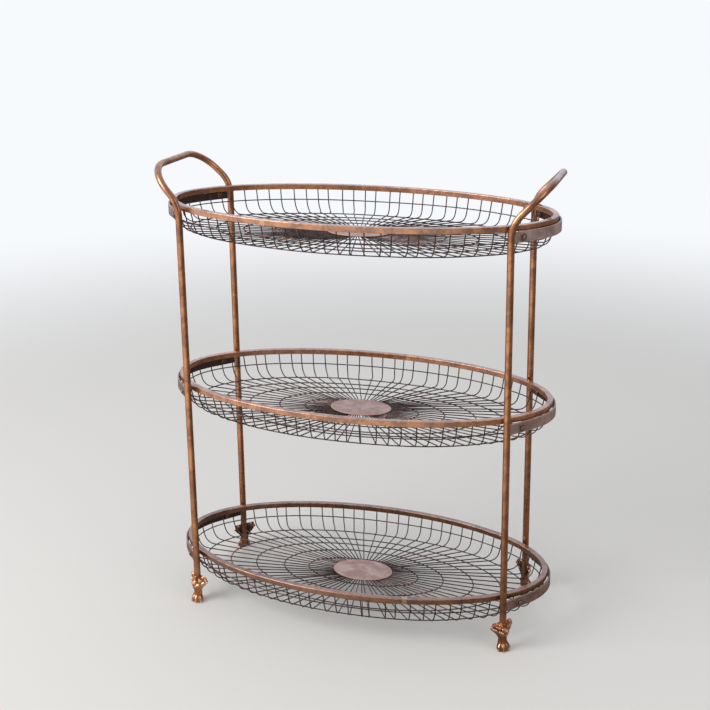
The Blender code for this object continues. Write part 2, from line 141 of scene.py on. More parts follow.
def ball(latitude, steps, lumps=0.0):
    # the latitude's cosine goes round, with three soft lumps, and its sine goes up
    turn = np.linspace(0, math.tau, steps, endpoint=False)
    level = np.cos(latitude)[:, None]
    swell = level * (1 + lumps * np.sin(3 * turn + 1) * level)
    return np.stack((swell * np.cos(turn), swell * np.sin(turn),
                     np.broadcast_to(np.sin(latitude)[:, None], swell.shape)), axis=-1)


def roundedBox(width, height, radius, steps=4, margin=0.0006):
    # a quarter circle round each corner and one point on the flat at either side of it
    turn = np.linspace(0, math.pi / 2, steps + 1)[:, None]
    profile, wearAndPaintedLight = [], []
    for quarter in range(4):
        angle = quarter * math.pi / 2
        start = np.array((math.cos(angle), math.sin(angle)))
        end = np.array((-math.sin(angle), math.cos(angle)))
        reach = (width / 2, height / 2) if quarter % 2 == 0 else (height / 2, width / 2)
        centre = start * (reach[0] - radius) + end * (reach[1] - radius)
        arc = centre + radius * (np.cos(turn) * start + np.sin(turn) * end)
        profile += [centre + radius * start - end * margin, *arc, centre + radius * end - start * margin]
        wearAndPaintedLight += [0, *np.sin(np.linspace(0.15, 0.85, steps + 1) * math.pi), 0]
    return np.array(profile), np.array(wearAndPaintedLight)


def addPiece(name, shells, material, nodes, sharpAngle=40):
    # the shells follow each other in one mesh; equal points are merged and faces turned outwards
    shellPoints, shellFaces, shellWearAndPaintedLight = zip(*shells)
    starts = np.cumsum([0, *map(len, shellPoints[:-1])])
    points, wearAndPaintedLight = np.concatenate(shellPoints), np.concatenate(shellWearAndPaintedLight)
    faces = np.concatenate([quads + start for quads, start in zip(shellFaces, starts)])
    mesh = bpy.data.meshes.new(name)
    mesh.vertices.add(len(points))
    mesh.vertices.foreach_set("co", points.astype(np.float32).ravel())
    mesh.loops.add(faces.size)
    mesh.loops.foreach_set("vertex_index", faces.astype(np.int32).ravel())
    mesh.polygons.add(len(faces))
    mesh.polygons.foreach_set("loop_start", np.arange(0, faces.size, 4, dtype=np.int32))
    mesh.update(calc_edges=True)
    # above zero the mark is wear, and on the feet also painted highlight; below zero it is how much painted
    # shade a face gets
    for layerName, values in (("wearAndPaintedLight", np.maximum(wearAndPaintedLight, 0)), ("shaded", np.maximum(-wearAndPaintedLight, 0))):
        layer = mesh.attributes.new(layerName, "FLOAT", "POINT")
        layer.data.foreach_set("value", values.astype(np.float32))
    bm = bmesh.new()
    bm.from_mesh(mesh)
    bmesh.ops.remove_doubles(bm, verts=bm.verts, dist=1e-6)
    bmesh.ops.recalc_face_normals(bm, faces=bm.faces)
    bm.to_mesh(mesh)
    bm.free()
    mesh.shade_smooth()
    mesh.set_sharp_from_angle(angle=math.radians(sharpAngle))
    piece = bpy.data.objects.new(name, mesh)
    scene.collection.objects.link(piece)
    mesh.materials.append(material)
    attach(piece, "root")
    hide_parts(*nodes)


# The rim's outline, which bands, legs and wires follow

def ovalPoints(angles, length, depth):
    # length times the cosine and depth times the sine of the eccentric angle
    return np.stack((length * np.cos(angles), depth * np.sin(angles), np.zeros_like(angles)), axis=-1)


def outlinePlace(angles, outset):
    # the point on the rim's outer face plus the outset along the direction square to the face
    outward = unit(ovalPoints(angles, 1 / halfLength, 1 / halfDepth))
    return ovalPoints(angles, halfLength, halfDepth) + outward * outset, outward


def outlineLengths(turn, count):
    # eccentric angles from zero to the turn, and the summed steps between their points
    angles = np.linspace(0, turn, count)
    steps = np.linalg.norm(np.diff(ovalPoints(angles, halfLength, halfDepth), axis=0), axis=1)
    return angles, np.concatenate(([0], np.cumsum(steps)))


def evenAngles(count, start=0.0):
    # eccentric angles that share the outline's length evenly
    angles, lengths = outlineLengths(math.tau, 2881)
    return np.interp((np.arange(count) + start) / count * lengths[-1], lengths, angles)


legAngle = math.radians(35.5)    # eccentric angle of the outline's point beside a leg


def angleFromLeg(distance):
    # the eccentric angle that lies the distance along the outline from a leg, towards the end
    angles, lengths = outlineLengths(math.pi, 1441)
    return float(np.interp(np.interp(legAngle, angles, lengths) - distance, lengths, angles))


# Finishes

def feed(tree, node, feeds):
    # what goes into each input, by its name or number: a socket is linked, and a value is set
    for key, value in feeds.items():
        socket = node.inputs[key]
        if isinstance(value, bpy.types.NodeSocket):
            tree.links.new(value, socket)
        else:
            socket.default_value = (*value, 1.0) if socket.type == "RGBA" else value


def addNode(tree, kind, feeds={}, **settings):
    # a shader node with its settings and what goes into its inputs
    node = tree.nodes.new("ShaderNode" + kind)
    for key, value in settings.items():
        setattr(node, key, value)
    feed(tree, node, feeds)
    return node


def newGroup(name, inputs, outputs):
    # an empty node group, its inputs and its end; each socket but Vector is a number
    group = bpy.data.node_groups.new(name, "ShaderNodeTree")
    for names, direction in ((inputs, "INPUT"), (outputs, "OUTPUT")):
        for socket in names:
            kind = "NodeSocketVector" if socket == "Vector" else "NodeSocketFloat"
            group.interface.new_socket(socket, in_out=direction, socket_type=kind)
    return group, group.nodes.new("NodeGroupInput").outputs[:3], group.nodes.new("NodeGroupOutput")


def noise(tree, vector, scale, detail, roughness=0.5, distortion=0.0):
    # one noise texture on the vector
    return addNode(tree, "TexNoise", {
        "Vector": vector, "Scale": scale, "Detail": detail, "Roughness": roughness,
        "Distortion": distortion}).outputs["Fac"]


def span(tree, value, low, high, toLow=0.0, toHigh=1.0):
    # a value between low and high, stretched to the new limits and held inside them
    return addNode(tree, "MapRange", {
        "Value": value, "From Min": low, "From Max": high, "To Min": toLow, "To Max": toHigh},
        interpolation_type="SMOOTHSTEP").outputs["Result"]


def maths(tree, operation, first, second):
    # one operation on two values, each a socket or a number
    return addNode(tree, "Math", {0: first, 1: second}, operation=operation).outputs["Value"]


def blend(tree, amount, first, second):
    # a colour between two, each a socket or a colour
    return addNode(tree, "Mix", {0: amount, 6: first, 7: second}, data_type="RGBA").outputs[2]


patinaNoise = {
    "closeScale": 3.7, "speckScale": 7.0,    # times the blotch scale
    "blotchShares": (0.68, 0.32), "blotchLimits": (0.38, 0.62), "speckLimits": (0.64, 0.74),
    "heightShares": (0.7, 0.3),
}
edgeWear = {"scale": 4, "edgeShare": 0.62, "limits": (0.72, 1.02)}


def weighted(tree, first, second, shares):
    # the first value times its share plus the second times its own
    return maths(tree, "ADD", maths(tree, "MULTIPLY", first, shares[0]),
                 maths(tree, "MULTIPLY", second, shares[1]))


def makePatinaGroup():
    # blotches are a broad and a close noise, specks a finer one, height the close one and grain
    group, (vector, blotchScale, grainScale), end = newGroup(
        "patina", ("Vector", "Blotch Scale", "Grain Scale"), ("Blotches", "Specks", "Height"))
    closeScale, speckScale = (maths(group, "MULTIPLY", blotchScale, patinaNoise[key])
                              for key in ("closeScale", "speckScale"))
    broad = noise(group, vector, blotchScale, 3.0, 0.55, 0.4)
    close = noise(group, vector, closeScale, 3.0, 0.6)
    grain = noise(group, vector, grainScale, 2.0)
    mixed = weighted(group, broad, close, patinaNoise["blotchShares"])
    feed(group, end, {
        "Blotches": span(group, mixed, *patinaNoise["blotchLimits"]),
        "Specks": span(group, noise(group, vector, speckScale, 1.0), *patinaNoise["speckLimits"]),
        "Height": weighted(group, close, grain, patinaNoise["heightShares"])})
    return group


def makeWearGroup():
    # the edge mask plus noise, cut off softly: edges come through in broken lines
    group, (edge, vector, scale), end = newGroup("rubbedEdges", ("Edge", "Vector", "Scale"), ("Worn",))
    total = weighted(group, edge, noise(group, vector, scale, 2.0, 0.6), (edgeWear["edgeShare"], 1.0))
    feed(group, end, {"Worn": span(group, total, *edgeWear["limits"])})
    return group


patinaGroup = makePatinaGroup()
wearGroup = makeWearGroup()


def patinaFinish(name, look):
    # dark and light colour by blotches, a third by specks, then rubbed edges (on the feet partly painted
    # highlight and reflection) and painted shade where the mark is below zero
    material = bpy.data.materials.new(name)
    material.use_nodes = True
    tree = material.node_tree
    place = addNode(tree, "TexCoord").outputs["Object"]
    patina = addNode(tree, "Group", node_tree=patinaGroup, feeds={
        "Vector": place, "Blotch Scale": look["blotchScale"], "Grain Scale": look["grainScale"]}).outputs
    edge, paintedShade = (addNode(tree, "Attribute", attribute_name=mark).outputs["Fac"]
                    for mark in ("wearAndPaintedLight", "shaded"))
    wear = addNode(tree, "Group", node_tree=wearGroup, feeds={
        "Edge": edge, "Vector": place, "Scale": look["blotchScale"] * edgeWear["scale"]}).outputs["Worn"]
    colour = blend(tree, patina["Blotches"], look["dark"], look["light"])
    for amount, over in ((maths(tree, "MULTIPLY", patina["Specks"], look["specks"]), "speck"),
                         (maths(tree, "MULTIPLY", wear, look["wear"]), "rubbed"), (paintedShade, "shaded")):
        colour = blend(tree, amount, colour, look[over])
    bump = addNode(tree, "Bump", {
        "Strength": look["bump"], "Distance": look["bumpHeight"], "Height": patina["Height"]})
    feed(tree, tree.nodes["Principled BSDF"], {
        "Base Color": colour, "Roughness": span(tree, patina["Blotches"], 0.0, 1.0, *look["rough"]),
        "Metallic": look["metal"], "Coat Weight": look["coat"], "Coat Roughness": look["coatRough"],
        "Coat IOR": look["coatIor"], "Normal": bump.outputs["Normal"]})
    return material


copperLook = {
    "dark": (0.36, 0.138, 0.06), "light": (0.7, 0.298, 0.12), "speck": (0.15, 0.055, 0.026),
    "rubbed": (0.9, 0.5, 0.28), "shaded": (0.1, 0.05, 0.03), "specks": 0.45, "wear": 0.7,
    "blotchScale": 26, "grainScale": 700, "rough": (0.36, 0.25), "metal": 0.9, "coat": 0.8,
    "coatRough": 0.12, "coatIor": 1.6, "bump": 0.25, "bumpHeight": 0.0004,
}
tubeFinish = patinaFinish("tubeFinish", copperLook)
rimLook = copperLook | {
    "dark": (0.33, 0.125, 0.055), "light": (0.66, 0.28, 0.115), "blotchScale": 34, "wear": 0.5,
    "coat": 1.0, "coatRough": 0.08, "coatIor": 1.9, "rough": (0.4, 0.28), "metal": 0.72}
bandLook = copperLook | {
    "dark": (0.29, 0.19, 0.17), "light": (0.49, 0.35, 0.322), "rough": (0.5, 0.38),
    "shaded": (0.07, 0.033, 0.023), "metal": 0.35, "coat": 0.6, "coatRough": 0.22, "blotchScale": 30,
    "specks": 0.3}
# the lower tiers are darker, browner copies of the same finish, which is painted shade: shares of red, green
# and blue for the rim and the bands
tierShadeShares = {
    "top": ((1, 1, 1), (1, 1, 1)), "middle": ((0.94, 0.91, 0.88), (0.86, 0.76, 0.7)),
    "bottom": ((0.56, 0.52, 0.5), (0.56, 0.46, 0.41))}


def shadedCopy(look, shares):
    # the look with its dark and light colour times the shares
    return look | {key: tuple(np.multiply(look[key], shares).tolist()) for key in ("dark", "light")}


rimFinishes, bandFinishes = {}, {}
for tier, (rimShadeShares, bandShadeShares) in tierShadeShares.items():
    rimFinishes[tier] = patinaFinish("rimFinish_" + tier, shadedCopy(rimLook, rimShadeShares))
    bandFinishes[tier] = patinaFinish("bandFinish_" + tier, shadedCopy(bandLook, bandShadeShares))
wireFinish = patinaFinish("wireFinish", copperLook | {
    "dark": (0.022, 0.012, 0.01), "light": (0.11, 0.055, 0.042), "speck": (0.42, 0.23, 0.17),
    "specks": 0.5, "rubbed": (0.52, 0.3, 0.23), "blotchScale": 55, "rough": (0.42, 0.3),
    "coat": 0.5, "coatRough": 0.25, "metal": 0.85, "bump": 0.35})
discFinish = patinaFinish("discFinish", copperLook | {
    "dark": (0.4, 0.25, 0.215), "light": (0.59, 0.41, 0.365), "speck": (0.24, 0.12, 0.085),
    "specks": 0.35, "rough": (0.62, 0.55), "metal": 0.35, "coat": 0.15, "blotchScale": 24, "wear": 0.6,
    "rubbed": (0.6, 0.35, 0.24), "bump": 0.35})
# on the feet the pale pink rubbed colour is wear, and also a painted reflection on paws and toes
footFinish = patinaFinish("footFinish", copperLook | {
    "dark": (0.5, 0.16, 0.048), "light": (0.88, 0.36, 0.12), "rubbed": (0.98, 0.62, 0.43),
    "speck": (0.16, 0.055, 0.022), "shaded": (0.095, 0.038, 0.025), "blotchScale": 70, "specks": 0.5,
    "rough": (0.26, 0.17), "wear": 0.9, "coat": 0.7, "coatRough": 0.08, "metal": 0.97})
boltFinish = patinaFinish("boltFinish", copperLook | {
    "dark": (0.15, 0.075, 0.05), "light": (0.3, 0.165, 0.115), "rubbed": (0.56, 0.4, 0.32),
    "blotchScale": 110, "rough": (0.4, 0.28), "wear": 0.6})
nutFinish = patinaFinish("nutFinish", copperLook | {
    "dark": (0.07, 0.034, 0.024), "light": (0.22, 0.11, 0.07), "rubbed": (0.56, 0.34, 0.24),
    "blotchScale": 110, "rough": (0.45, 0.35)})
print("finishes made")


# End frames: one bent tube each

def roundedPath(points, radii, arcSteps, runSteps):
    # straight runs between the corners, and at each inner corner an arc that touches both runs
    rows, previous = [], points[0]
    for index, radius in enumerate(radii, start=1):
        corner = points[index]
        back, ahead = unit(points[index - 1] - corner), unit(points[index + 1] - corner)
        half = math.acos(float(np.dot(back, ahead))) / 2
        reach = radius / math.tan(half)
        arcStart, arcEnd = corner + back * reach, corner + ahead * reach
        centre = corner + unit(back + ahead) * radius / math.sin(half)
        rows.append(previous + (arcStart - previous) * np.linspace(0, 1, runSteps, endpoint=False)[:, None])
        spoke, turn = arcStart - centre, math.pi - 2 * half
        sideways = unit(np.cross(np.cross(spoke, arcEnd - centre), spoke)) * radius
        swing = np.linspace(0, turn, arcSteps, endpoint=False)[:, None]
        rows.append(centre + spoke * np.cos(swing) + sideways * np.sin(swing))
        previous = arcEnd
    rows.append(previous + (points[-1] - previous) * np.linspace(0, 1, runSteps)[:, None])
    return np.concatenate(rows)


tubeFoot = frameLow[2]
kneeHeight, halfGrip = rimHeights["top"] + tube["kneeRise"], tube["gripWidth"] / 2
for end, sign in endSigns.items():
    bends = np.array(((legX, -legY, tubeFoot), (legX, -legY, kneeHeight), (gripX, -halfGrip, gripHeight),
                      (gripX, halfGrip, gripHeight), (legX, legY, kneeHeight), (legX, legY, tubeFoot)))
    path = roundedPath(bends, tube["bendRadii"], tube["arcSteps"], tube["runSteps"]) * (sign, sign, 1)
    along = unit(np.gradient(path, axis=0))
    across = unit(np.cross(along, (sign, 0.0, 0.0)))
    section = circle(tube["radius"], tube["roundSteps"])
    addPiece("tube_" + end, [shell(carried(path, across, np.cross(across, along), section))],
             tubeFinish, ["end_frame_" + end])
print("end frames made")


# Rims: ovals of square bar with eased corners, slightly uneven, with a ground butt weld

rimBar = {
    "corner": 0.0013, "steps": 420, "wear": 0.7,
    "dent": 0.00022, "dentWaves": ((17, 0.7), (41, 2.1)),    # waves round the rim, and where they start
    "seam": {"top": -1.905, "middle": 1.44, "bottom": -1.2},    # eccentric angle of the butt weld
    "seamWidth": 0.012, "seamGround": 0.035, "seamWear": 1.5,
}
for tier in tierNames:
    angles = evenAngles(rimBar["steps"])
    place, outward = outlinePlace(angles, -barWidth / 2)
    profile, wearAndPaintedLight = roundedBox(barWidth, barWidth, rimBar["corner"])
    wave, otherWave = (np.sin(angles * count + start) for count, start in rimBar["dentWaves"])
    dents = (wave * otherWave + 1) / 2 * rimBar["dent"]
    place = place - outward * dents[:, None] * 0.5
    place[:, 2] = rimHeights[tier]
    gap = np.abs((angles - rimBar["seam"][tier] + math.pi) % math.tau - math.pi)
    seam = np.exp(-(gap / rimBar["seamWidth"]) ** 2)
    size = 1 - dents / barWidth - seam * rimBar["seamGround"]
    rows = carried(place, outward, upward, profile[None] * size[:, None, None])
    wearAndPaintedLight = np.maximum(wearAndPaintedLight[None] * rimBar["wear"], seam[:, None] * rimBar["seamWear"])
    addPiece("rimBar_" + tier, [shell(rows, wearAndPaintedLight, closeRows=True)],
             rimFinishes[tier], ["rim_" + tier], sharpAngle=60)
print("rims made")


# Nets: radial wires down the wall and across the floor, with rings welded under them

net = {
    "count": 72, "radius": 0.00115, "round": 7, "wear": 0.3,
    "seed": 40, "jitter": 0.09, "lean": 0.045, "tierTurn": 0.37,    # shares of the pitch
    "wallDrop": 0.027, "wallInset": 0.0095, "floorDrop": 0.051,
    # inset at the ends, inset at the sides and drop, down the wall and round the bend to the floor
    "wallMiddle": (0.0078, 0.0078, 0.018),
    "bend": ((0.013, 0.0112, 0.038), (0.019, 0.013, 0.051), (0.034, 0.0245, 0.051)),
    "rings": ((0.343, 0.1605), (0.289, 0.13), (0.2325, 0.108), (0.17, 0.083), (0.117, 0.049)),
    "hub": (0.054, 0.0315), "ringSteps": 180, "wobble": 0.0007, "sag": 0.0002,
    "weldSizes": (1.25, 1.6), "weldTall": 1.15, "weldWear": 0.6,
}
for number, tier in enumerate(tierNames):
    random = np.random.default_rng(net["seed"] + number)
    height = rimHeights[tier]
    radius = net["radius"]
    floorZ = height - net["floorDrop"]
    wallA, wallB = halfLength - net["wallInset"], halfDepth - net["wallInset"]
    wallZ = height - net["wallDrop"]
    # the bend is a curve with one control point
    bend = np.linspace(0, 1, 11)[:, None]
    bendStart, bendCorner, bendEnd = np.array(net["bend"])
    side = np.concatenate((
        [(barWidth / 2, barWidth / 2, barWidth / 2 + radius * 0.4), net["wallMiddle"],
         (net["wallInset"], net["wallInset"], net["wallDrop"])],
        (1 - bend) ** 2 * bendStart + 2 * bend * (1 - bend) * bendCorner + bend ** 2 * bendEnd))
    cornerA, cornerB = halfLength - bendEnd[0], halfDepth - bendEnd[1]
    floorShare = np.linspace(0, 1, 8)[1:]
    spanA = np.concatenate((halfLength - side[:, 0], cornerA + (net["hub"][0] - cornerA) * floorShare))
    spanB = np.concatenate((halfDepth - side[:, 1], cornerB + (net["hub"][1] - cornerB) * floorShare))
    spanZ = np.concatenate((height - side[:, 2], floorZ + 0 * floorShare))
    pitch = math.tau / net["count"]
    angles = evenAngles(net["count"], start=net["tierTurn"] * number)
    angles = angles + random.normal(0, net["jitter"], net["count"]) * pitch
    lean = random.normal(0, net["lean"], net["count"]) * pitch
    share = np.linspace(0, 1, len(spanZ))
    turned = angles[:, None] + lean[:, None] * np.sin(share * math.pi)[None]
    path = np.stack((spanA * np.cos(turned), spanB * np.sin(turned),
                     np.broadcast_to(spanZ, turned.shape)), axis=-1)
    chord = path[:, -1] - path[:, 0]
    sideways = unit(np.stack((-chord[:, 1], chord[:, 0], 0 * chord[:, 0]), axis=-1))[:, None]
    along = unit(np.gradient(path, axis=1))
    section = circle(radius, net["round"])
    shells = [copies(carried(path, sideways, np.cross(along, sideways), section), net["wear"])]
    ringAngles = evenAngles(net["ringSteps"])
    ringPlaces = [(wallA + radius * 0.8, wallB + radius * 0.8, wallZ)]
    ringPlaces += [(a, b, floorZ - radius * 1.5) for a, b in net["rings"]]
    for index, (a, b, z) in enumerate(ringPlaces):
        wobble = np.sin(ringAngles * (5 + index) + random.uniform(0, math.tau)) * net["wobble"]
        outward = unit(ovalPoints(ringAngles, b, a))
        ring = ovalPoints(ringAngles, a, b) + outward * wobble[:, None]
        ring[:, 2] = z + np.sin(ringAngles * (7 + index)) * net["sag"]
        shells.append(shell(carried(ring, outward, upward, section), net["wear"], closeRows=True))
    # a small weld swelling where a ring crosses a radial wire: the first root along the wire
    cosines, sines = np.cos(angles), np.sin(angles)
    start = np.stack((cornerA * cosines, cornerB * sines), axis=-1)
    step = np.stack((net["hub"][0] * cosines, net["hub"][1] * sines), axis=-1) - start
    spots = [np.stack((wallA * cosines, wallB * sines, 0 * cosines + wallZ), axis=-1)]
    for a, b in net["rings"]:
        scaled, moved = start / (a, b), step / (a, b)
        first = (moved ** 2).sum(-1)
        second = 2 * (scaled * moved).sum(-1)
        third = (scaled ** 2).sum(-1) - 1
        root = (-second - np.sqrt(np.maximum(second ** 2 - 4 * first * third, 0))) / (2 * first)
        flat = start + step * np.clip(root, 0, 1)[:, None]
        spots.append(np.concatenate((flat, 0 * flat[:, :1] + floorZ - radius * 0.8), axis=-1))
    spots = np.concatenate(spots)[:, None, None]
    swelling = ball(np.array((-0.6, 0.0, 0.6)) * math.pi / 2, 6)
    sizes = radius * random.uniform(*net["weldSizes"], len(spots))[:, None, None, None]
    shells.append(copies(spots + swelling * sizes * (1, 1, net["weldTall"]), net["weldWear"]))
    addPiece("netWires_" + tier, shells, wireFinish, ["net_" + tier], sharpAngle=80)
print("nets made")


# Discs: oval plates with a rolled edge, very slightly dished

discPlate = {"rows": 26, "steps": 120, "edgeSteps": 9, "innermost": 0.02, "dish": 0.0004, "dishPower": 4,
             "wearPower": 30}
for tier in tierNames:
    low, high = corners("centre_disc_" + tier)
    centre, half = (low + high) / 2, (high - low) / 2
    turn = np.linspace(0, math.tau, discPlate["steps"], endpoint=False)
    rim = half[2]
    # from the top's middle out to the edge, round it and back to the underside's middle
    flat = np.linspace(discPlate["innermost"], 1, discPlate["rows"])
    edge = np.linspace(math.pi / 2, -math.pi / 2, discPlate["edgeSteps"])[1:-1]
    inset = np.concatenate((rim + (half[1] - rim) * (1 - flat), rim - rim * np.cos(edge),
                            rim + (half[1] - rim) * (1 - flat[::-1])))
    top = rim - discPlate["dish"] * (1 - flat ** discPlate["dishPower"])
    lift = np.concatenate((top, rim * np.sin(edge), -rim + 0 * flat))
    grow = 1 - inset / half[1]
    rows = np.stack((grow[:, None] * half[0] * np.cos(turn), grow[:, None] * half[1] * np.sin(turn),
                     np.broadcast_to(lift[:, None], (len(lift), len(turn)))), axis=-1) + centre
    wear = flat ** discPlate["wearPower"]
    addPiece("discPlate_" + tier, [shell(rows, np.concatenate((wear, 0 * edge + 1, wear[::-1]))[:, None])],
             discFinish, ["centre_disc_" + tier], sharpAngle=50)
print("discs made")


# Bands: curved flat bars, straight at each bolt, with weld beads up to the rim

bar = {
    "gap": 0.0025, "thickness": 0.003, "corner": 0.0006, "straight": 0.048, "intoTube": 0.0007,
    "overlap": 0.002,    # how far it stands up beside the rim
    # weld beads up to the rim: places past the straight run, and reach outwards, upwards and along
    "beadPast": (0.008, 0.052), "beadReach": (0.004, 0.0021, 0.0046), "beadOut": 0.0004,
    "beadDrop": 0.0012, "beadLumps": 0.1, "beadWear": 0.5,
    # upright welds at the tube: share of the band's height, steps from its corner, and ripples
    "weldRadius": 0.0012, "weldShare": 0.47, "weldAlong": 0.0006, "weldOut": 0.0001,
    "weldRipple": 0.16, "weldWaves": 2600, "weldWear": 0.3,
}


def weldBall(centre, axes, lumps=0.0):
    # a ball stretched along three axes
    return centre + ball(np.linspace(-1, 1, 11)[1:-1] * math.pi / 2, 20, lumps) @ axes


for tier in tierNames:
    for end, sign in endSigns.items():
        thickness = bar["thickness"]
        outset = bar["gap"] + thickness / 2
        barBottom = corners(f"band_{tier}_{end}")[0][2]
        rimFoot = rimHeights[tier] - barWidth / 2
        barTop = rimFoot + bar["overlap"]
        barMiddle = (barBottom + barTop) / 2
        # straight from just inside the tube to the oval, then along it to the middle, and mirrored
        follows = angleFromLeg(bar["straight"])
        leg = np.array((legX, legY, 0.0))
        runEnd = outlinePlace(np.array([follows]), outset)[0][0]
        run = unit(runEnd - leg)
        start = leg + run * (tube["radius"] - bar["intoTube"])
        straight = start + (runEnd - start) * np.linspace(0, 1, 14, endpoint=False)[:, None]
        half = np.concatenate((straight, outlinePlace(np.linspace(follows, 0, 56), outset)[0]))
        path = np.concatenate((half, half[-2::-1] * (1, -1, 1)))
        path[:, 2] = barMiddle
        outward = np.cross(unit(np.gradient(path, axis=0)), upward)
        outward = outward * np.sign((outward * path).sum(-1))[:, None]
        profile, wearAndPaintedLight = roundedBox(thickness, barTop - barBottom, bar["corner"], steps=3, margin=0.0005)
        rows = carried(path, outward, upward, profile)
        # the inner face is darkened with painted shade and hardly rubbed
        wearAndPaintedLight = np.where(profile[:, 0] < -thickness * 0.2, wearAndPaintedLight * 0.3 - 1, wearAndPaintedLight)
        shells = [shell(rows * (sign, sign, 1), wearAndPaintedLight[None])]
        for side in (-1, 1):
            mirror = np.array((sign, sign * side, 1))
            for distance in bar["beadPast"]:
                angle = angleFromLeg(bar["straight"] + distance)
                (spot,), (out,) = outlinePlace(np.array([angle]), bar["beadOut"])
                axes = np.array((out, upward, np.cross(upward, out))) * np.array(bar["beadReach"])[:, None]
                bead = weldBall(spot + upward * (rimFoot - bar["beadDrop"]), axes, bar["beadLumps"])
                shells.append(shell(bead * mirror, bar["beadWear"]))
            for face in (-1, 1):
                # an upright weld in the corner between the tube and each face of the band
                height = np.linspace(-1, 1, 19) * (barTop - barBottom) * bar["weldShare"]
                foot = start + run * bar["weldAlong"] + outward[0] * face * (thickness / 2 + bar["weldOut"])
                line = foot + upward * (barMiddle + height[:, None])
                ripple = 1 + bar["weldRipple"] * np.sin(height * bar["weldWaves"] + side + face)
                swell = ripple * (1 - np.abs(height / height[-1]) ** 6) + 0.05
                ring = circle(bar["weldRadius"], 10)[None] * swell[:, None, None]
                shells.append(shell(carried(line, run, outward[0], ring) * mirror, bar["weldWear"]))
        addPiece(f"endBand_{tier}_{end}", shells, bandFinishes[tier], [f"band_{tier}_{end}"],
                 sharpAngle=60)
print("bands made")


# Bolts, washers and nuts, turned about the bolt's axis

fixing = {
    "turnSteps": 36, "nutSteps": 48, "nutFlats": 0.01, "halfNut": 0.0025,
    "shaft": 0.003, "shaftEnd": 0.0022, "pastNut": 0.001, "plainFrom": -0.002,
    "threads": 9, "threadPitch": 0.0006, "threadDepth": 0.0003,
    "headRadius": 0.0045, "headHeight": 0.003, "headFoot": 0.0009, "headSide": 0.42,
    # radius, height and wear round the sections of the washer and the nut
    "washer": ((0.0033, -0.0006, 0), (0.0072, -0.0006, 0.3), (0.00775, -0.0003, 1), (0.00775, 0.0003, 1),
               (0.0074, 0.0006, 1), (0.0033, 0.0006, 0.2)),
    "nut": ((0.0033, -0.0025, 0.2), (0.0046, -0.0025, 0.6), (0.0053, -0.0021, 1), (0.0058, -0.0016, 0.7),
            (0.0058, 0.0016, 0.7), (0.0053, 0.0021, 1), (0.0046, 0.0025, 0.6), (0.0033, 0.0025, 0.2)),
}


def turnedShell(profile, centre, outward, steps, closeRows=True, flats=0.0):
    # radius and height go round the axis; with flats the radius is held inside a regular hexagon
    radius, height, wearAndPaintedLight = np.array(profile).T[..., None]
    turn = np.linspace(0, math.tau, steps, endpoint=False)
    if flats:
        facet = (turn % (math.pi / 3)) - math.pi / 6
        radius = np.where(radius > flats * 0.45, np.minimum(radius, flats / 2 / np.cos(facet)), radius)
    around = np.cos(turn)[:, None] * upward + np.sin(turn)[:, None] * np.cross(upward, outward)
    return shell(centre + radius[..., None] * around + height[..., None] * outward, wearAndPaintedLight, closeRows)


def boltProfile(length):
    # zigzag thread up to the plain shaft, then the head's flat side and a quarter wave for its dome
    shaft, depth, headFoot = fixing["shaft"], fixing["threadDepth"], fixing["headFoot"]
    roots = -length + depth + np.arange(fixing["threads"]) * fixing["threadPitch"]
    thread = [(shaft - depth * part, root + depth * part, 0.2) for root in roots for part in (0, 1)]
    turn = np.linspace(0.0, 1.45, 8)
    side = fixing["headSide"]
    dome = np.stack((fixing["headRadius"] * np.cos(turn),
                     headFoot + fixing["headHeight"] * (side + (1 - side) * np.sin(turn)),
                     np.linspace(0.4, 1.0, 8)), axis=-1)
    return [(fixing["shaftEnd"], -length, 0.2), *thread, (shaft, fixing["plainFrom"], 0.2),
            (shaft, headFoot, 0.2), (fixing["headRadius"], headFoot, 0.2), *dome]


for spot in [f"{tier}_{end}_{side}" for tier in tierNames for end in endSigns for side in sideSigns]:
    washer, nut = middle("washer_" + spot), middle("nut_" + spot)
    outward = unit(washer - nut)
    bolt = boltProfile(float(np.dot(washer - nut, outward)) + fixing["halfNut"] + fixing["pastNut"])
    addPiece("boltHead_" + spot, [turnedShell(bolt, washer, outward, fixing["turnSteps"], closeRows=False)],
             boltFinish, ["bolt_" + spot])
    addPiece("washerRing_" + spot, [turnedShell(fixing["washer"], washer, outward, fixing["turnSteps"])],
             boltFinish, ["washer_" + spot])
    hexagon = turnedShell(fixing["nut"], nut, outward, fixing["nutSteps"], flats=fixing["nutFlats"])
    addPiece("nutHex_" + spot, [hexagon], nutFinish, ["nut_" + spot])
print("bolts, washers and nuts made")


# Feet: cast paws whose crown is two leaf wings; the tube stands in them, and their backs are open

